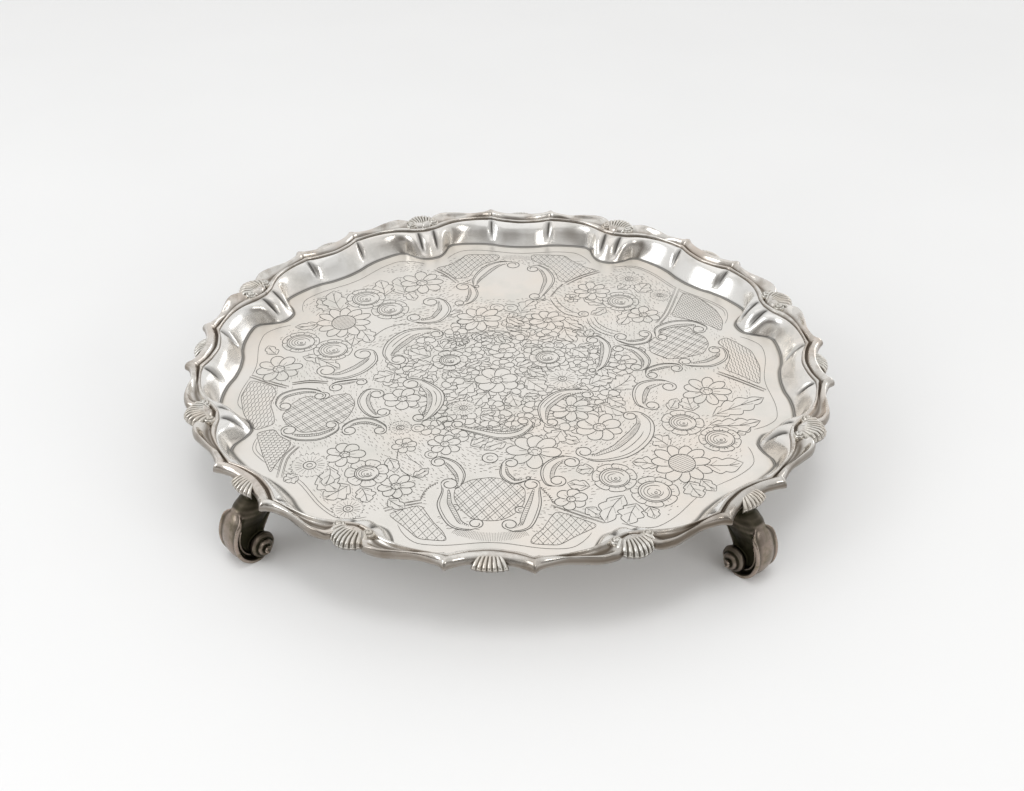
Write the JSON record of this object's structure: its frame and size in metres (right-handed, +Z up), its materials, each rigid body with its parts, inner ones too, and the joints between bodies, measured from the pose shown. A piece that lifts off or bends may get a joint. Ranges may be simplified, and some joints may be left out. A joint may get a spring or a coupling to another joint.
{
  "type": "silver salver",
  "caption": "Round raised silver salver with a sunk chased well, waved wall and cast shell-and-scroll border, on cast scroll feet, for carrying cups and glasses.",
  "frame": {"origin": "on the table, under the centre of the well", "axes": "+Z up along the salver's axis of symmetry; the feet stand at 45 degrees to +X and +Y"},
  "size_m": [0.3434, 0.3434, 0.045],
  "materials": {
    "sheet_silver": "polished, with soft tarnish in the chasing",
    "cast_silver": "polished on the high points, dark in the quirks",
    "foot_silver": "cast, with heavy brown tarnish"
  },
  "bodies": {
    "root": {"tray_plate": "sheet_silver", "border_casting_1": "cast_silver", "border_casting_2": "cast_silver", "border_casting_3": "cast_silver", "border_casting_4": "cast_silver", "border_casting_5": "cast_silver", "border_casting_6": "cast_silver", "border_casting_7": "cast_silver", "border_casting_8": "cast_silver", "large_shell_1": "cast_silver", "large_shell_2": "cast_silver", "large_shell_3": "cast_silver", "large_shell_4": "cast_silver", "large_shell_5": "cast_silver", "large_shell_6": "cast_silver", "large_shell_7": "cast_silver", "large_shell_8": "cast_silver", "small_shell_1": "cast_silver", "small_shell_2": "cast_silver", "small_shell_3": "cast_silver", "small_shell_4": "cast_silver", "small_shell_5": "cast_silver", "small_shell_6": "cast_silver", "small_shell_7": "cast_silver", "small_shell_8": "cast_silver", "scroll_foot_1": "foot_silver", "scroll_foot_2": "foot_silver", "scroll_foot_3": "foot_silver", "scroll_foot_4": "foot_silver"}
  },
  "joints": []
}
